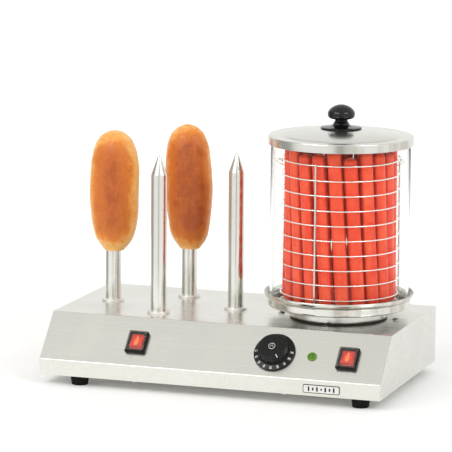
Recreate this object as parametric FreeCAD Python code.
import FreeCAD, Part
import math
import os

# Countertop hot dog machine: a wedge-fronted stainless housing that carries four heated bun
# spikes and a hot plate. A water pan, a glass cylinder, a wire basket of sausages and a knobbed
# lid stand on the hot plate, each lifting off. Millimetres, +Z up, z = 0 under the feet,
# front towards -Y. Everything is drawn about the housing's own centre and moved by SHIFT_Y on
# export, so that the origin is the centre of the whole object's footprint.

Vec = FreeCAD.Vector
Z_AXIS = Vec(0, 0, 1)

# ---- housing
WIDTH = 500.0
DEPTH = 285.0
BOTTOM_Z = 14.0          # underside of the housing, the height of the feet
LIP_Z = 36.0             # top of the upright front lip
TOP_Z = 95.0             # top plate
TOP_FRONT_Y = -88.5      # where the control slope meets the top plate
SHEET = 1.2
FOLD_R = 2.2             # outside radius of the folds
FLANGE = 12.0            # return flanges that take the base screws
TURN_DOWN = 15.0         # the top plate's rear lip, which laps over the rear panel
REAR_SCREW_X = (-205.0, -70.0, 70.0, 205.0)

# ---- bun spikes, a diamond on the left of the top plate
SPIKE_X, SPIKE_Y = -106.0, 18.0
SPIKE_SPAN_X, SPIKE_SPAN_Y = 93.4, 65.8
SPIKE_R = 11.25
SPIKE_WALL = 1.2
SPIKE_FOOT_Z = 85.0
STUD_R = 8.5             # turned-down end that passes through the top plate
SPIKE_SHOULDER_Z = 293.0
SPIKE_TIP_Z = 320.7
SPIKE_TIP_R = 2.2
COLLAR_R, COLLAR_H = 16.3, 3.0
SPIKES = {
    "left": (SPIKE_X - SPIKE_SPAN_X, SPIKE_Y),
    "front": (SPIKE_X, SPIKE_Y - SPIKE_SPAN_Y),
    "rear": (SPIKE_X, SPIKE_Y + SPIKE_SPAN_Y),
    "right": (SPIKE_X + SPIKE_SPAN_X, SPIKE_Y),
}

# ---- cooker, a stack of loose pieces about one axis
POT_X, POT_Y = 141.0, 18.5
PLATE_R = 69.0
PLATE_TOP_Z = 112.0
SPIGOT_R, SPIGOT_Z = 61.5, 88.0
ELEMENT_R, ELEMENT_WIRE_R = 42.0, 4.25
SHIELD_R, SHIELD_WALL_R, SHIELD_Z = 90.0, 74.0, 68.0
PLATE_SCREW_R = 83.0
PLATE_SCREW_DEG = 3.5
PAN_SHEET = 1.0
PAN_R = 101.0
PAN_RIM_R = 106.5
PAN_RIM_Z = 132.0
GLASS_R, GLASS_WALL = 98.5, 3.8
GLASS_Z, GLASS_TOP_Z = PLATE_TOP_Z + PAN_SHEET, 353.0
BASKET_R = 82.5
WIRE_R = 1.0
UPRIGHT_R = 1.3
BASKET_TOP_Z = 320.8
BASKET_PITCH = 20.9
BASKET_RINGS = 10
BASKET_FLOOR_Z = 120.6
UPRIGHT_DEG = (-97.4, 22.6, 142.6)
LID_SHEET = 1.2
LID_R = 102.2
LID_BAND_Z = 341.7
LID_STEP_R = 83.0
LID_CROWN_Z = 363.5
KNOB_TOP_Z = 397.5

# ---- bail handle, hung in two eyes under the basket's top ring
BAIL_DEG = 18.0          # direction of the hinge line, from +X towards +Y
BAIL_R, BAIL_WIRE_R = 91.8, 1.25
BAIL_BEND = 4.0
BAIL_DROP_DEG = 20.0     # how far below level it rests
EYE_R = 2.6
EYE_Z = BASKET_TOP_Z - 3.5

# ---- food
SAUSAGES = 20
SAUSAGE_R = 10.3
SAUSAGE_RING_R = 70.2
SAUSAGE_Z, SAUSAGE_TOP_Z, SAUSAGE_SPREAD = 122.4, 336.0, 5.0
SAUSAGE_TWIST_DEG = 12.0
BUN_BORE_R = 12.0
BUNS = {"left": (168.0, 343.0, 37.3, 1.6), "rear": (164.0, 348.0, 35.5, -1.6)}
BUN_FLATTEN = 0.84

# ---- controls on the slope: x, and distance up the slope from the lip
SLOPE_DEG = math.degrees(math.atan2(TOP_Z - LIP_Z, TOP_FRONT_Y + DEPTH / 2))
SWITCHES = {"left": (-112.0, 37.2), "right": (196.5, 36.4)}
SWITCH_W, SWITCH_L, SWITCH_RIM = 30.0, 35.0, 5.0
ROCKER_W, ROCKER_L = 17.5, 21.0
ROCKER_PIVOT_Z = -3.0
ROCKER_TILT_DEG = -7.0    # upper end pressed in: switched on
DIAL_X, DIAL_T = 90.0, 38.7
DIAL_SKIRT_R, DIAL_GRIP_R, DIAL_H = 29.5, 21.75, 18.0
SHAFT_R = 3.0
RUNNING = 0.05           # radial clearance of a running fit
LAMP_X, LAMP_T, LAMP_R = 144.5, 37.0, 6.8
BADGE_X, BADGE_W, BADGE_Z, BADGE_H, BADGE_T = 165.9, 52.8, 24.0, 12.0, 0.8

# ---- underside and rear
FOOT_X = (-196.0, 217.0)
FOOT_Y = (-124.0, 124.0)
FOOT_TOP_R, FOOT_R = 13.5, 11.4
GLAND_X, GLAND_Z = 170.0, 46.0
GLAND_REACH = 18.0
GLAND_BORE_R = 4.0
BLOCK_X, BLOCK_Y = 60.0, 95.0
EARTH_X, EARTH_Y = 110.0, 105.0

FRONT_Y, REAR_Y = -DEPTH / 2, DEPTH / 2
SHIFT_Y = -(GLAND_REACH - BADGE_T) / 2


# ------------------------------------------------------------------ drawing helpers
def export(name, *solids):
    """Write one sub-part, moved from the housing's centre to the object's origin."""
    shape = solids[0] if len(solids) == 1 else Part.makeCompound(list(solids))
    shape = shape.copy()
    shape.translate(Vec(0, SHIFT_Y, 0))
    shape.exportStep("parts/" + name + ".step")


def moved(shape, x=0.0, y=0.0, z=0.0):
    shape = shape.copy()
    shape.translate(Vec(x, y, z))
    return shape


def turned(shape, degrees, axis=Z_AXIS, centre=Vec(0, 0, 0)):
    shape = shape.copy()
    shape.rotate(centre, axis, degrees)
    return shape


def rod(radius, z0, z1, x=0.0, y=0.0):
    return Part.makeCylinder(radius, z1 - z0, Vec(x, y, z0))


def tube(r_in, r_out, z0, z1, x=0.0, y=0.0):
    return rod(r_out, z0, z1, x, y).cut(rod(r_in, z0 - 1, z1 + 1, x, y))


def box(x0, x1, y0, y1, z0, z1):
    return Part.makeBox(x1 - x0, y1 - y0, z1 - z0, Vec(x0, y0, z0))


def block(width, length, z0, z1, corner=0.0):
    """A centred upright block with rounded corners."""
    shape = box(-width / 2, width / 2, -length / 2, length / 2, z0, z1)
    if corner:
        shape = shape.makeFillet(corner, upright_edges(shape))
    return shape


def upright_edges(shape):
    found = []
    for edge in shape.Edges:
        a, b = edge.Vertexes[0].Point, edge.Vertexes[-1].Point
        if abs(a.z - b.z) > 1e-6 and math.hypot(a.x - b.x, a.y - b.y) < 1e-6:
            found.append(edge)
    return found


def hexagon(across_flats, z0, z1, x=0.0, y=0.0):
    corner = across_flats / math.sqrt(3)
    points = [Vec(x + corner * math.cos(i * math.pi / 3), y + corner * math.sin(i * math.pi / 3), z0)
              for i in range(7)]
    return Part.Face(Part.makePolygon(points)).extrude(Vec(0, 0, z1 - z0))


def prism_x(outline, x0, x1):
    """Extrude a closed (y, z) outline along X."""
    points = [Vec(x0, y, z) for y, z in outline + outline[:1]]
    return Part.Face(Part.makePolygon(points)).extrude(Vec(x1 - x0, 0, 0))


def lathe(outline):
    """Turn a closed (radius, z) outline about Z. Three-item steps are (r, z, bulge point)."""
    edges = []
    for start, end in zip(outline, outline[1:] + outline[:1]):
        a, b = Vec(start[0], 0, start[1]), Vec(end[0], 0, end[1])
        if len(end) > 2:
            middle = Vec(end[2][0], 0, end[2][1])
            edges.append(Part.Arc(a, middle, b).toShape())
        elif (a - b).Length > 1e-6:
            edges.append(Part.LineSegment(a, b).toShape())
    return Part.Face(Part.Wire(edges)).revolve(Vec(0, 0, 0), Z_AXIS, 360)


def arc_point(r, z, radius, degrees):
    angle = math.radians(degrees)
    return (r + radius * math.cos(angle), z + radius * math.sin(angle))


def dome_point(r, z, top):
    """A point half-way up the sphere that rises from (r, z) to (0, top)."""
    rise = top - z
    radius = (r * r + rise * rise) / (2 * rise)
    lean = math.asin(min(r / radius, 1.0)) / 2
    return (radius * math.sin(lean), top - radius + radius * math.cos(lean))


def wire_between(start, end, radius):
    run = end - start
    return Part.makeCylinder(radius, run.Length, start, run)


def bent_wire(points, radius, bend):
    """A round wire through points, with one bend radius at each corner."""
    edges = []
    here = points[0]
    for before, corner, after in zip(points, points[1:], points[2:]):
        into = (corner - before).normalize()
        out = (after - corner).normalize()
        half = into.getAngle(out) / 2
        reach = bend * math.tan(half)
        a, b = corner - into * reach, corner + out * reach
        inward = (out - into).normalize()
        middle = corner + inward * (bend / math.cos(half) - bend)
        edges.append(Part.LineSegment(here, a).toShape())
        edges.append(Part.Arc(a, middle, b).toShape())
        here = b
    edges.append(Part.LineSegment(here, points[-1]).toShape())
    path = Part.Wire(edges)
    section = Part.Wire(Part.makeCircle(radius, points[0], points[1] - points[0]))
    return path.makePipeShell([section], True, False)


def on_slope(shape, x, distance):
    """Stand a piece drawn about the origin on the slope: its +Z becomes the outward normal."""
    angle = math.radians(SLOPE_DEG)
    shape = turned(shape, SLOPE_DEG, Vec(1, 0, 0))
    return moved(shape, x, FRONT_Y + distance * math.cos(angle), LIP_Z + distance * math.sin(angle))


def at_pot(shape):
    return moved(shape, POT_X, POT_Y)


def pot_point(radius, degrees, z):
    angle = math.radians(degrees)
    return Vec(POT_X + radius * math.cos(angle), POT_Y + radius * math.sin(angle), z)


# ------------------------------------------------------------------ housing
def housing_outline(inset):
    """The housing's side view, moved inwards by inset."""
    tilt = math.radians(SLOPE_DEG)
    lip_shift = inset * math.tan((math.pi / 2 - tilt) / 2)
    top_shift = inset * math.tan(tilt / 2)
    floor = BOTTOM_Z if inset == 0 else BOTTOM_Z - 5
    return [
        (FRONT_Y + inset, floor),
        (FRONT_Y + inset, LIP_Z - lip_shift),
        (TOP_FRONT_Y + top_shift, TOP_Z - inset),
        (REAR_Y - inset, TOP_Z - inset),
        (REAR_Y - inset, floor),
    ]


def housing_block(inset, fold_radius):
    half = WIDTH / 2 - SHEET
    shape = prism_x(housing_outline(inset), -half, half)
    folds = []
    for edge in shape.Edges:
        a, b = edge.Vertexes[0].Point, edge.Vertexes[-1].Point
        if abs(a.x - b.x) > WIDTH / 2 and min(a.z, b.z) > BOTTOM_Z + 1:
            folds.append(edge)
    return shape.makeFillet(fold_radius, folds)


def housing_cutters():
    """Every hole through the folded wrap."""
    deep = 20.0
    cutters = [rod(STUD_R + 0.3, TOP_Z - deep, TOP_Z + 1, x, y) for x, y in SPIKES.values()]
    cutters.append(at_pot(rod(SPIGOT_R + 0.5, TOP_Z - deep, TOP_Z + 1)))
    cutters += [rod(2.2, TOP_Z - deep, TOP_Z + 1, *xy) for xy in plate_screw_places()]
    for x, distance in SWITCHES.values():
        cutters.append(on_slope(block(SWITCH_W - 3, SWITCH_L - 3, -5, 5), x, distance))
    cutters.append(on_slope(rod(5.2, -5, 5), DIAL_X, DIAL_T))
    cutters.append(on_slope(rod(5.2, -5, 5), LAMP_X, LAMP_T))
    return cutters + rear_screw_holes()


def rearwards(shape, x, y, z):
    """Lays a shape drawn along +Z over to point out of the rear, with its origin at (x, y, z)."""
    return moved(turned(shape, -90, Vec(1, 0, 0)), x, y, z)


def rear_screw_holes():
    z = TOP_Z - TURN_DOWN / 2
    return [rearwards(rod(1.8, -6, 2), x, REAR_Y, z) for x in REAR_SCREW_X]


def make_housing():
    shell = housing_block(0, FOLD_R).cut(housing_block(SHEET, FOLD_R - SHEET))
    half = WIDTH / 2 - SHEET - FLANGE - 2
    low, high = BOTTOM_Z + SHEET, BOTTOM_Z + 2 * SHEET
    front = box(-half, half, FRONT_Y + SHEET / 2, FRONT_Y + SHEET + FLANGE, low, high)
    open_rear = box(-WIDTH, WIDTH, REAR_Y - FOLD_R, REAR_Y + 1, BOTTOM_Z - 1, TOP_Z - TURN_DOWN)
    wrap = shell.fuse(front).cut(housing_cutters() + base_screw_holes() + [open_rear])
    export("housing_wrap", wrap.removeSplitter())


def make_rear_panel():
    """A flat panel with a foot flange, screwed behind the top plate's rear lip."""
    outer, inner = REAR_Y - SHEET, REAR_Y - 2 * SHEET
    half = WIDTH / 2 - SHEET
    low, high = BOTTOM_Z + SHEET, BOTTOM_Z + 2 * SHEET
    panel = box(-half, half, inner, outer, low, TOP_Z - SHEET - 1)
    short = half - FLANGE - 2
    flange = box(-short, short, outer - FLANGE, inner + SHEET / 2, low, high)
    gland_hole = rearwards(rod(10.1, -5, 5), GLAND_X, outer, GLAND_Z)
    panel = panel.fuse(flange).cut([gland_hole] + base_screw_holes() + rear_screw_holes())
    export("rear_panel", panel.removeSplitter())
    screws = []
    for x in REAR_SCREW_X:
        head = lathe([(0, 0), (3.2, 0), (2.6, 1.5, (3.0, 1.0)), (0, 1.5)])
        screw = head.fuse(rod(1.7, -6, 0)).cut(rod(1.2, 0.7, 2))
        screws.append(rearwards(screw, x, REAR_Y, TOP_Z - TURN_DOWN / 2))
    export("rear_panel_screws", *screws)


def make_side_panels():
    low, high = BOTTOM_Z + SHEET, BOTTOM_Z + 2 * SHEET
    for name, side in (("left", -1), ("right", 1)):
        outer, inner = side * WIDTH / 2, side * (WIDTH / 2 - SHEET)
        plate = prism_x(housing_outline(0), min(outer, inner), max(outer, inner))
        edge = side * (WIDTH / 2 - SHEET - FLANGE)
        x0, x1 = sorted((edge, side * (WIDTH / 2 - SHEET / 2)))
        flange = box(x0, x1, FRONT_Y + 20, REAR_Y - 20, low, high)
        panel = plate.fuse(flange).cut(base_screw_holes())
        export("side_panel_" + name, panel.removeSplitter())


def base_screw_places():
    near_side = WIDTH / 2 - SHEET - FLANGE / 2
    near_edge = DEPTH / 2 - SHEET - FLANGE / 2
    places = [(side * near_side, y) for side in (-1, 1) for y in (-70.0, 70.0)]
    places += [(x, side * near_edge) for side in (-1, 1) for x in (-110.0, 110.0)]
    return places


def base_screw_holes():
    return [rod(1.8, BOTTOM_Z - 1, BOTTOM_Z + 4, x, y) for x, y in base_screw_places()]


def foot_places():
    names = {"front": FOOT_Y[0], "rear": FOOT_Y[1]}
    sides = {"left": FOOT_X[0], "right": FOOT_X[1]}
    return {end + "_" + side: (x, y) for end, y in names.items() for side, x in sides.items()}


def make_base_plate():
    half_x, half_y = WIDTH / 2 - SHEET, DEPTH / 2 - SHEET
    plate = box(-half_x, half_x, -half_y, half_y, BOTTOM_Z, BOTTOM_Z + SHEET)
    slots = []
    for i in range(9):
        for y in (-50.0, 50.0):
            slot = block(4, 44, BOTTOM_Z - 1, BOTTOM_Z + 3, 1.9)
            slots.append(moved(slot, -140 + 16.0 * i, y))
            slots.append(moved(slot, 60 + 16.0 * i, y))
    holes = [rod(2.2, BOTTOM_Z - 1, BOTTOM_Z + 3, x, y) for x, y in foot_places().values()]
    holes.append(rod(2.6, BOTTOM_Z - 1, BOTTOM_Z + 3, EARTH_X, EARTH_Y))
    export("base_plate", plate.cut(slots + holes + base_screw_holes()))


def make_base_screws():
    screws = []
    for x, y in base_screw_places():
        head = rod(3.4, BOTTOM_Z - 2.1, BOTTOM_Z, x, y)
        head = head.makeFillet(0.8, [e for e in head.Edges if e.Vertexes[0].Z < BOTTOM_Z - 1
                                     and e.Curve.TypeId == "Part::GeomCircle"])
        recess = rod(1.5, BOTTOM_Z - 3, BOTTOM_Z - 0.9, x, y)
        screws.append(head.fuse(rod(1.7, BOTTOM_Z, BOTTOM_Z + 8, x, y)).cut(recess))
    export("base_plate_screws", *screws)


def make_feet():
    fasteners = []
    for name, (x, y) in foot_places().items():
        body = lathe([(0, 0), (FOOT_R - 0.8, 0), (FOOT_R, 0.8), (FOOT_TOP_R, BOTTOM_Z), (0, BOTTOM_Z)])
        body = body.cut([rod(2.2, -1, BOTTOM_Z + 1), rod(5.0, -1, 6)])
        export("foot_" + name, moved(body, x, y))
        screw = rod(3.8, 3.4, 6.0, x, y).fuse(rod(2.0, 6.0, BOTTOM_Z + SHEET + 5, x, y))
        screw = screw.cut(rod(1.6, 3.0, 4.8, x, y))
        nut = hexagon(7, BOTTOM_Z + SHEET, BOTTOM_Z + SHEET + 3.2, x, y)
        nut = nut.cut(rod(2.0 + RUNNING, BOTTOM_Z, BOTTOM_Z + 8, x, y))
        fasteners += [screw, nut]
    export("foot_fasteners", *fasteners)


# ------------------------------------------------------------------ bun spikes
def spike_profile(inset, foot_z):
    """Tube, cone and rounded point; inset moves the whole surface inwards."""
    centre_z = SPIKE_TIP_Z - SPIKE_TIP_R
    rise = centre_z - SPIKE_SHOULDER_Z
    lean = math.atan2(rise, SPIKE_R) + math.asin(SPIKE_TIP_R / math.hypot(rise, SPIKE_R))
    radius, tip = SPIKE_R - inset, SPIKE_TIP_R - inset
    angle = math.degrees(math.pi / 2 - lean)
    touch = arc_point(0, centre_z, tip, angle)
    middle = arc_point(0, centre_z, tip, (90 + angle) / 2)
    shoulder_z = touch[1] - (radius - touch[0]) * math.tan(lean)
    return [(0, foot_z), (radius, foot_z), (radius, shoulder_z), touch, (0, centre_z + tip, middle)]


def make_spikes():
    seat_z = TOP_Z + COLLAR_H
    stud = rod(STUD_R, SPIKE_FOOT_Z, seat_z + 1).cut(rod(STUD_R - SPIKE_WALL, SPIKE_FOOT_Z - 1, seat_z + 2))
    hollow = lathe(spike_profile(0, seat_z)).cut(lathe(spike_profile(SPIKE_WALL, seat_z + SPIKE_WALL)))
    hollow = hollow.cut(rod(STUD_R - SPIKE_WALL, seat_z - 1, seat_z + 3)).fuse(stud).removeSplitter()
    collar = tube(STUD_R + RUNNING, COLLAR_R, TOP_Z, seat_z)
    rim = [e for e in collar.Edges if abs(e.BoundBox.ZMax - TOP_Z - COLLAR_H) < 1e-3
           and abs(e.BoundBox.ZMin - TOP_Z - COLLAR_H) < 1e-3 and e.BoundBox.XLength > 30]
    collar = collar.makeFillet(0.9, rim)
    under = TOP_Z - SHEET
    nut = hexagon(26, under - 5, under).cut(rod(STUD_R + RUNNING, under - 6, under + 1))
    base = rod(STUD_R - 0.1, SPIKE_FOOT_Z - 3, SPIKE_FOOT_Z)
    cartridge = rod(6, SPIKE_FOOT_Z - 1, 275)
    pins = [rod(1.5, SPIKE_FOOT_Z - 10, SPIKE_FOOT_Z - 2, x) for x in (-4, 4)]
    heater = base.fuse([cartridge] + pins)
    collars, nuts, heaters = [], [], []
    for name, (x, y) in SPIKES.items():
        export("spike_" + name, moved(hollow, x, y))
        collars.append(moved(collar, x, y))
        nuts.append(moved(nut, x, y))
        heaters.append(moved(heater, x, y))
    export("spike_collars", *collars)
    export("spike_nuts", *nuts)
    export("spike_heaters", *heaters)


def make_buns():
    """Each bun is a closed roll with one blind hole, standing on the point of its spike."""
    for name, (low, high, radius, aside) in BUNS.items():
        length = high - low
        stations = ((0.00, 0.0), (0.02, 0.42), (0.10, 0.72), (0.24, 0.90), (0.42, 0.99), (0.58, 1.0),
                    (0.74, 0.95), (0.86, 0.83), (0.95, 0.57), (1.00, 0.0))
        curve = Part.BSplineCurve()
        curve.interpolate([Vec(radius * r, 0, low + length * s) for s, r in stations])
        axis = Part.LineSegment(Vec(0, 0, high), Vec(0, 0, low))
        roll = Part.Face(Part.Wire([curve.toShape(), axis.toShape()])).revolve(Vec(0, 0, 0), Z_AXIS, 360)
        flatten = FreeCAD.Matrix()
        flatten.scale(1.0, BUN_FLATTEN, 1.0)
        roll = roll.transformGeometry(flatten)
        bore = lathe(spike_profile(SPIKE_R - BUN_BORE_R, low - 5))
        export("bun_" + name, moved(moved(roll, aside).cut(bore), *SPIKES[name]))


# ------------------------------------------------------------------ hot plate and its heater
def plate_screw_places():
    points = [pot_point(PLATE_SCREW_R, PLATE_SCREW_DEG + 90 * i, 0) for i in range(4)]
    return [(p.x, p.y) for p in points]


def element_legs():
    return [pot_point(ELEMENT_R, degrees, 0) for degrees in (75, 105)]


def make_hot_plate():
    low = TOP_Z + 1.5
    disc = lathe([(0, SPIGOT_Z), (SPIGOT_R, SPIGOT_Z), (SPIGOT_R, low), (PLATE_R, low),
                  (PLATE_R, PLATE_TOP_Z - 2), (PLATE_R - 2, PLATE_TOP_Z), (0, PLATE_TOP_Z)])
    groove = Part.makeTorus(ELEMENT_R, ELEMENT_WIRE_R + 0.15, Vec(0, 0, SPIGOT_Z))
    bulb_hole = rod(3.2, SPIGOT_Z - 1, PLATE_TOP_Z - 4, -20, -16)
    bolt_hole = rod(4 + RUNNING, SPIGOT_Z - 1, SPIGOT_Z + 9)
    export("hot_plate", at_pot(disc.cut([groove, bulb_hole, bolt_hole])))
    export("hot_plate_gasket", at_pot(tube(SPIGOT_R + 0.1, PLATE_R - 1, TOP_Z, low)))


def make_heating_element():
    ring = Part.makeTorus(ELEMENT_R, ELEMENT_WIRE_R, Vec(0, 0, SPIGOT_Z), Z_AXIS, -180, 180, 330)
    ring = at_pot(turned(ring, 105))
    legs = []
    for place in element_legs():
        end = Vec(place.x, place.y, SPIGOT_Z)
        legs.append(Part.makeSphere(ELEMENT_WIRE_R, end))
        legs.append(rod(ELEMENT_WIRE_R, SHIELD_Z + 6, SPIGOT_Z, place.x, place.y))
    export("heating_element", ring.fuse(legs))
    top = SPIGOT_Z - ELEMENT_WIRE_R - 0.05
    clamp = at_pot(rod(56, top - 1.7, top))
    holes = [rod(ELEMENT_WIRE_R + 1, top - 3, top + 1, p.x, p.y) for p in element_legs()]
    holes += [at_pot(rod(4.2, top - 3, top + 1)), at_pot(rod(3.6, top - 3, top + 1, -20, -16))]
    export("element_clamp", clamp.cut(holes))
    head = hexagon(13, top - 7, top - 1.7)
    export("element_bolt", at_pot(head.fuse(rod(4, top - 1.7, SPIGOT_Z + 8))))


def make_heat_shield():
    wall, high = 1.2, TOP_Z - SHEET
    dish = lathe([(0, SHIELD_Z), (SHIELD_WALL_R, SHIELD_Z), (SHIELD_WALL_R, high - wall),
                  (SHIELD_R, high - wall), (SHIELD_R, high), (SHIELD_WALL_R - wall, high),
                  (SHIELD_WALL_R - wall, SHIELD_Z + wall), (0, SHIELD_Z + wall)])
    dish = at_pot(dish.cut(rod(3.6, SHIELD_Z - 1, SHIELD_Z + 3, -20, -16)))
    export("heat_shield", dish.cut([rod(2.2, high - 3, high + 1, *xy) for xy in plate_screw_places()]))
    fasteners = []
    for x, y in plate_screw_places():
        head = lathe([(0, TOP_Z), (4.75, TOP_Z), (4.75, TOP_Z + 0.9),
                      (0, TOP_Z + 2.5, dome_point(4.75, TOP_Z + 0.9, TOP_Z + 2.5))])
        screw = moved(head, x, y).fuse(rod(2, high - 8, TOP_Z, x, y))
        screw = screw.cut(box(x - 0.5, x + 0.5, y - 3, y + 3, TOP_Z + 1.4, TOP_Z + 4))
        nut = hexagon(7, high - wall - 3.2, high - wall, x, y)
        nut = nut.cut(rod(2 + RUNNING, high - 9, high, x, y))
        fasteners += [screw, nut]
    export("hot_plate_screws", *fasteners)


# ------------------------------------------------------------------ pan, glass, basket, lid
def make_pan():
    """A spun dish: flat floor, upright wall, then a flared rim with a rounded lip."""
    low, bend, lip = PLATE_TOP_Z, 4.0, 1.0
    inner = PAN_R - PAN_SHEET
    flare_z = PAN_RIM_Z - 9.0
    lip_z = PAN_RIM_Z - lip
    outside_bend = arc_point(PAN_R - bend, low + bend, bend, -45)
    inside_bend = arc_point(PAN_R - bend, low + bend, bend - PAN_SHEET, -45)
    dish = lathe([(0, low), (PAN_R - bend, low), (PAN_R, low + bend, outside_bend),
                  (PAN_R, flare_z), (PAN_RIM_R, lip_z, (PAN_R + 2.9, flare_z + 3.2)),
                  (PAN_RIM_R - 2 * lip, lip_z, (PAN_RIM_R - lip, PAN_RIM_Z)),
                  (inner, flare_z + 0.4, (inner + 2.2, flare_z + 3.8)), (inner, low + bend),
                  (PAN_R - bend, low + PAN_SHEET, inside_bend), (0, low + PAN_SHEET)])
    export("pan", at_pot(dish))


def make_glass():
    r_in, r_out, edge = GLASS_R - GLASS_WALL, GLASS_R, 1.5
    low, high = GLASS_Z, GLASS_TOP_Z
    wall = lathe([(r_in + edge, low), (r_out - edge, low),
                  (r_out, low + edge, arc_point(r_out - edge, low + edge, edge, -45)),
                  (r_out, high - edge),
                  (r_out - edge, high, arc_point(r_out - edge, high - edge, edge, 45)),
                  (r_in + edge, high),
                  (r_in, high - edge, arc_point(r_in + edge, high - edge, edge, 135)),
                  (r_in, low + edge),
                  (r_in + edge, low, arc_point(r_in + edge, low + edge, edge, 225))])
    export("glass_cylinder", at_pot(wall))


def make_basket():
    heights = [BASKET_FLOOR_Z] + [BASKET_TOP_Z - BASKET_PITCH * i for i in range(BASKET_RINGS)]
    rings = [at_pot(Part.makeTorus(BASKET_R, WIRE_R, Vec(0, 0, z))) for z in heights]
    export("basket_rings", *rings)
    reach = BASKET_R + WIRE_R + UPRIGHT_R - 0.5
    uprights = []
    for degrees in UPRIGHT_DEG:
        foot = pot_point(reach, degrees, GLASS_Z + 0.1 + UPRIGHT_R)
        top = pot_point(reach, degrees, BASKET_TOP_Z + 1.2)
        ends = [Part.makeSphere(UPRIGHT_R, foot), Part.makeSphere(UPRIGHT_R, top)]
        uprights.append(wire_between(foot, top, UPRIGHT_R).fuse(ends))
    export("basket_uprights", *uprights)
    bars = []
    for i in range(-5, 6):
        offset = 13.6 * i
        half = math.sqrt(BASKET_R ** 2 - offset ** 2)
        bars.append(wire_between(Vec(POT_X + offset, POT_Y - half, BASKET_FLOOR_Z),
                                 Vec(POT_X + offset, POT_Y + half, BASKET_FLOOR_Z), WIRE_R * 0.8))
    cross = wire_between(Vec(POT_X - BASKET_R, POT_Y, BASKET_FLOOR_Z - 0.7),
                         Vec(POT_X + BASKET_R, POT_Y, BASKET_FLOOR_Z - 0.7), WIRE_R)
    export("basket_floor", cross.fuse(bars))
    line = Vec(math.cos(math.radians(BAIL_DEG)), math.sin(math.radians(BAIL_DEG)), 0)
    eyes = [Part.makeTorus(EYE_R, WIRE_R, pot_point(BASKET_R, BAIL_DEG + turn, EYE_Z), line)
            for turn in (0, 180)]
    export("basket_eyes", *eyes)


def make_bail():
    """Half a hoop, its ends turned in through the eyes and headed over inside."""
    centre_r = BAIL_R - BAIL_BEND
    lean = math.asin(BAIL_BEND / centre_r)
    centre_x = centre_r * math.cos(lean)
    end_x = BASKET_R - 3.2
    joins = [Vec(centre_x, 0, 0), Vec(BAIL_R * math.cos(lean), BAIL_R * math.sin(lean), 0)]
    half = (lean - math.pi / 2) / 2
    bulge = Vec(centre_x + BAIL_BEND * math.cos(half), BAIL_BEND + BAIL_BEND * math.sin(half), 0)

    def opposite(point):
        return Vec(-point.x, point.y, point.z)

    edges = [Part.LineSegment(Vec(end_x, 0, 0), joins[0]),
             Part.Arc(joins[0], bulge, joins[1]),
             Part.Arc(joins[1], Vec(0, BAIL_R, 0), opposite(joins[1])),
             Part.Arc(opposite(joins[1]), opposite(bulge), opposite(joins[0])),
             Part.LineSegment(opposite(joins[0]), Vec(-end_x, 0, 0))]
    path = Part.Wire([edge.toShape() for edge in edges])
    section = Part.Wire(Part.makeCircle(BAIL_WIRE_R, Vec(end_x, 0, 0), Vec(1, 0, 0)))
    hoop = path.makePipeShell([section], True, False)
    heads = [Part.makeSphere(1.9, Vec(side * end_x, 0, 0)) for side in (-1, 1)]
    handle = turned(hoop.fuse(heads), -BAIL_DROP_DEG, Vec(1, 0, 0))
    handle = turned(handle, BAIL_DEG)
    export("bail_handle", at_pot(moved(handle, z=EYE_Z)))


def make_sausages():
    """One ring of sausages against the basket wall, all leaning the same way round."""
    sausages = []
    step = 360 / SAUSAGES
    for i in range(SAUSAGES):
        degrees = BAIL_DEG + step * (i + 0.5)
        top_z = SAUSAGE_TOP_Z + SAUSAGE_SPREAD * math.sin(2.4 * i) - SAUSAGE_R
        low = pot_point(SAUSAGE_RING_R, degrees + SAUSAGE_TWIST_DEG, SAUSAGE_Z + SAUSAGE_R)
        high = pot_point(SAUSAGE_RING_R, degrees, top_z)
        ends = [Part.makeSphere(SAUSAGE_R, low), Part.makeSphere(SAUSAGE_R, high)]
        sausages.append(wire_between(low, high, SAUSAGE_R).fuse(ends).removeSplitter())
    export("sausages", *sausages)


def make_lid():
    """A turned cap: upright band, flat rest on the glass, a step and a shallow crown."""
    top, under, fold = GLASS_TOP_Z + LID_SHEET, GLASS_TOP_Z, 2.0
    step_in, rise = LID_STEP_R, 1.6
    crown_r = 27.0
    crown = (0.68 * step_in, top + 0.72 * (LID_CROWN_Z - top))
    crown_under = (crown[0], crown[1] - LID_SHEET)
    outside = [(LID_R, LID_BAND_Z), (LID_R, top - fold),
               (LID_R - fold, top, arc_point(LID_R - fold, top - fold, fold, 45)),
               (step_in + 1.5, top), (step_in, top + rise), (crown_r, LID_CROWN_Z, crown),
               (3.2, LID_CROWN_Z)]
    inside = [(3.2, LID_CROWN_Z - LID_SHEET), (crown_r, LID_CROWN_Z - LID_SHEET),
              (step_in - 0.6, under + rise, crown_under), (step_in + 0.9, under),
              (LID_R - fold, under), (LID_R - LID_SHEET, under - 0.8), (LID_R - LID_SHEET, LID_BAND_Z)]
    export("lid", at_pot(lathe(outside + inside)))


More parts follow.
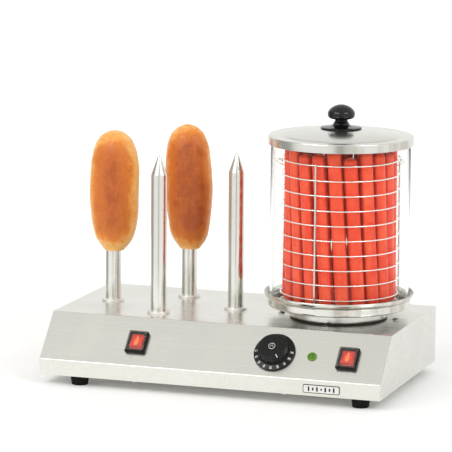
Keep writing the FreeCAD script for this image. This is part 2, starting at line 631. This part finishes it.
def make_lid_knob():
    low, top = LID_CROWN_Z, KNOB_TOP_Z
    outline = [(0, low), (28.0, low), (29.0, low + 1.0), (29.0, low + 2.0, (29.4, low + 1.5)),
               (15.0, low + 3.8, (24.0, low + 3.3)),
               (12.2, low + 5.2, (13.3, low + 4.3)),
               (8.8, low + 11.0), (9.6, low + 12.9, (8.9, low + 12.2)),
               (16.2, low + 14.2), (19.4, low + 19.6, (18.7, low + 16.2)),
               (17.0, low + 26.8, (18.9, low + 23.6)),
               (0, top, dome_point(17.0, low + 26.8, top))]
    knob = lathe(outline).cut(rod(2.5 + RUNNING, low - 1, low + 13))
    export("lid_knob", at_pot(knob))
    under = LID_CROWN_Z - LID_SHEET
    washer = tube(2.5 + RUNNING, 7, under - 1.2, under)
    screw = lathe([(0, under - 4), (2.6, under - 4), (4.6, under - 2.2, (4.1, under - 3.4)),
                   (4.6, under - 1.2), (2.5, under - 1.2), (2.5, low + 12), (0, low + 12)])
    export("lid_knob_screw", at_pot(screw), at_pot(washer))


# ------------------------------------------------------------------ controls
def make_switches():
    """Rocker switches, each in a rimmed housing under a clear splash cover."""
    pocket_w, pocket_l = ROCKER_W + 2, ROCKER_L + 4
    cover_w, cover_l, cover_top, cover_wall = SWITCH_W - 3.6, SWITCH_L - 3.6, 10.0, 0.8
    floor = 2.4
    body = block(SWITCH_W - 3.6, SWITCH_L - 3.6, -30, 0.5)
    frame = block(SWITCH_W, SWITCH_L, 0, SWITCH_RIM, 3.2)
    well = block(cover_w + 0.3, cover_l + 0.3, floor, SWITCH_RIM + 1, 1.9)
    pocket = block(pocket_w, pocket_l, -12, SWITCH_RIM)
    pin_hole = Part.makeCylinder(1.5 + RUNNING, 26, Vec(-13, 0, ROCKER_PIVOT_Z), Vec(1, 0, 0))
    tabs = [box(x - 3, x + 3, -0.4, 0.4, -38, -29) for x in (-6, 6)]
    housing = body.fuse([frame] + tabs).cut([well, pocket, pin_hole])
    end_z, valley_z, half = 6.2, 4.4, ROCKER_L / 2
    side = [(-half, end_z), (0, valley_z), (half, end_z), (half - 1, -2),
            (5, -7.5), (-5, -7.5), (-half + 1, -2)]
    rocker = prism_x(side, -ROCKER_W / 2, ROCKER_W / 2)
    pin = Part.makeCylinder(1.5, 24.4, Vec(-12.2, 0, ROCKER_PIVOT_Z), Vec(1, 0, 0))
    rocker = turned(rocker.fuse(pin), ROCKER_TILT_DEG, Vec(1, 0, 0), Vec(0, 0, ROCKER_PIVOT_Z))
    outer = block(cover_w, cover_l, floor, cover_top, 1.75)
    crown = [e for e in outer.Edges if e.BoundBox.ZMin > cover_top - 0.01]
    outer = outer.makeFillet(1.6, crown)
    inner = block(cover_w - 2 * cover_wall, cover_l - 2 * cover_wall, floor - 1, cover_top - cover_wall, 1.0)
    cover = outer.cut(inner)
    for name, place in SWITCHES.items():
        export("switch_housing_" + name, on_slope(housing, *place))
        export("rocker_" + name, on_slope(rocker, *place))
        export("switch_cover_" + name, on_slope(cover, *place))


def make_thermostat():
    body = block(40, 40, -31.2, -3.2, 3).fuse([rod(12, -3.2, -SHEET), rod(5, -SHEET - 0.5, 5)])
    body = body.cut(rod(SHAFT_R + RUNNING, -3, 6))
    nut = hexagon(14, 0, 2.6).cut(rod(5 + RUNNING, -1, 4))
    place = (DIAL_X, DIAL_T)
    export("thermostat_body", on_slope(body, *place))
    export("thermostat_nut", on_slope(nut, *place))
    export("thermostat_shaft", on_slope(rod(SHAFT_R, -2.5, 14), *place))


def make_dial():
    """A round skirt for the scale and a tall grip with a softly domed top."""
    skirt_low, grip_low = 1.2, 5.0
    top_r = DIAL_GRIP_R - 0.9
    outline = [(0, skirt_low), (DIAL_SKIRT_R, skirt_low), (DIAL_SKIRT_R, skirt_low + 1.4),
               (DIAL_GRIP_R + 0.4, grip_low), (DIAL_GRIP_R, grip_low + 0.6),
               (top_r, DIAL_H - 2.6), (top_r - 2.4, DIAL_H - 0.5, (top_r - 0.6, DIAL_H - 1.1)),
               (0, DIAL_H)]
    knob = lathe(outline)
    knob = knob.cut([rod(9, 0, 6.2), rod(SHAFT_R + RUNNING, 6, 14.2)])
    cap = rod(5.4, DIAL_H - 0.2, DIAL_H + 0.5)
    knob = knob.cut(rod(5.5, DIAL_H - 0.2, DIAL_H + 1))
    place = (DIAL_X, DIAL_T)
    export("dial_knob", on_slope(knob, *place))
    export("dial_cap", on_slope(cap, *place))


def make_lamp():
    lens = lathe([(0, -3), (5, -3), (5, 0), (LAMP_R, 0), (LAMP_R, 1.2),
                  (0, 3.4, dome_point(LAMP_R, 1.2, 3.4))])
    place = (LAMP_X, LAMP_T)
    export("lamp_lens", on_slope(lens, *place))
    pins = [box(x - 1.4, x + 1.4, -0.4, 0.4, -32, -24) for x in (-2.5, 2.5)]
    export("lamp_body", on_slope(rod(5, -25, -3).fuse(pins), *place))
    export("lamp_nut", on_slope(tube(5 + RUNNING, 8, -SHEET - 3, -SHEET), *place))


def make_badge():
    plate = box(BADGE_X - BADGE_W / 2, BADGE_X + BADGE_W / 2, FRONT_Y - BADGE_T, FRONT_Y,
                BADGE_Z - BADGE_H / 2, BADGE_Z + BADGE_H / 2)
    corners = [e for e in plate.Edges if e.BoundBox.YLength > 0.5 * BADGE_T and e.BoundBox.XLength < 0.01
               and e.BoundBox.ZLength < 0.01]
    export("badge_plate", plate.makeFillet(2.0, corners))


# ------------------------------------------------------------------ supply and wiring
def make_cable_gland():
    """Cord entry drawn along +Z and laid over to point out of the rear wall."""
    place = (GLAND_X, REAR_Y - SHEET, GLAND_Z)
    end = GLAND_REACH + SHEET
    body = hexagon(24, 0, 6).fuse(rod(9.9, -SHEET - 5, 0))
    cap = lathe([(0, 6), (11, 6), (11, 11), (7.5, end, (10.4, 16)), (0, end)])
    gland = body.fuse(cap).cut(rod(GLAND_BORE_R, -10, end + 1))
    nut = hexagon(26, -SHEET - 4.5, -SHEET).cut(rod(9.9 + RUNNING, -10, 1))
    export("cable_gland", rearwards(gland, *place))
    export("gland_nut", rearwards(nut, *place))


def make_supply():
    low = BOTTOM_Z + SHEET
    body = box(-24, 24, -11, 11, 0, 17)
    wells = [rod(2.6, 9, 18, x, y) for x in (-16, 0, 16) for y in (-5.5, 5.5)]
    entries = [Part.makeCylinder(2.2, 24, Vec(x, -12, 5.5), Vec(0, 1, 0)) for x in (-16, 0, 16)]
    export("terminal_block", moved(body.cut(wells + entries), BLOCK_X, BLOCK_Y, low))
    stud = rod(2.5, BOTTOM_Z - 0.1, low + 14, EARTH_X, EARTH_Y)
    nuts = hexagon(8, low, low + 4, EARTH_X, EARTH_Y).fuse(hexagon(8, low + 7, low + 11, EARTH_X, EARTH_Y))
    export("earth_stud", stud.fuse(nuts))


def slope_point(x, distance, height):
    """A point above (height > 0) or behind the slope."""
    angle = math.radians(SLOPE_DEG)
    return Vec(x, FRONT_Y + distance * math.cos(angle) - height * math.sin(angle),
               LIP_Z + distance * math.sin(angle) + height * math.cos(angle))


def make_capillary():
    """The thermostat's sensing bulb, up inside the hot plate, and the fine tube back to it."""
    bulb_x, bulb_y = POT_X - 20, POT_Y - 16
    bulb = rod(3, SPIGOT_Z - 6, PLATE_TOP_Z - 5, bulb_x, bulb_y)
    back = slope_point(DIAL_X, DIAL_T, -31.2)
    route = [Vec(bulb_x, bulb_y, SPIGOT_Z - 5), Vec(bulb_x, bulb_y, 42),
             Vec(DIAL_X + 6, -48, 32), slope_point(DIAL_X, DIAL_T, -46), back]
    export("thermostat_bulb", bulb.fuse(bent_wire(route, 1.0, 10.0)))


def make_wiring():
    """Insulated leads from the terminal block to each load, lying over the base plate."""
    low = BOTTOM_Z + SHEET
    run_z, lead_r = low + 4.5, 1.6
    starts = [Vec(BLOCK_X + x, BLOCK_Y - 11, low + 5.5) for x in (-16, 0, 16)]
    switch_ends = [slope_point(SWITCHES[name][0] + 6, SWITCHES[name][1], -38) for name in ("left", "right")]
    thermostat_end = slope_point(DIAL_X - 12, DIAL_T, -31.2)
    leads = []
    ends = (switch_ends[0], thermostat_end, switch_ends[1])
    for start, end in zip(starts, ends):
        out = Vec(start.x, start.y - 24, run_z)
        up = Vec(end.x, end.y + 10.5, max(end.z - 9.6, run_z))
        leads.append(bent_wire([start, out, up, end], lead_r, 6.0))
    export("wiring_harness", *leads)


def main():
    os.makedirs("parts", exist_ok=True)
    make_housing()
    make_rear_panel()
    make_side_panels()
    make_base_plate()
    make_base_screws()
    make_feet()
    make_spikes()
    make_buns()
    make_hot_plate()
    make_heating_element()
    make_heat_shield()
    make_pan()
    make_glass()
    make_basket()
    make_bail()
    make_sausages()
    make_lid()
    make_lid_knob()
    make_switches()
    make_thermostat()
    make_dial()
    make_lamp()
    make_badge()
    make_cable_gland()
    make_supply()
    make_capillary()
    make_wiring()


main()
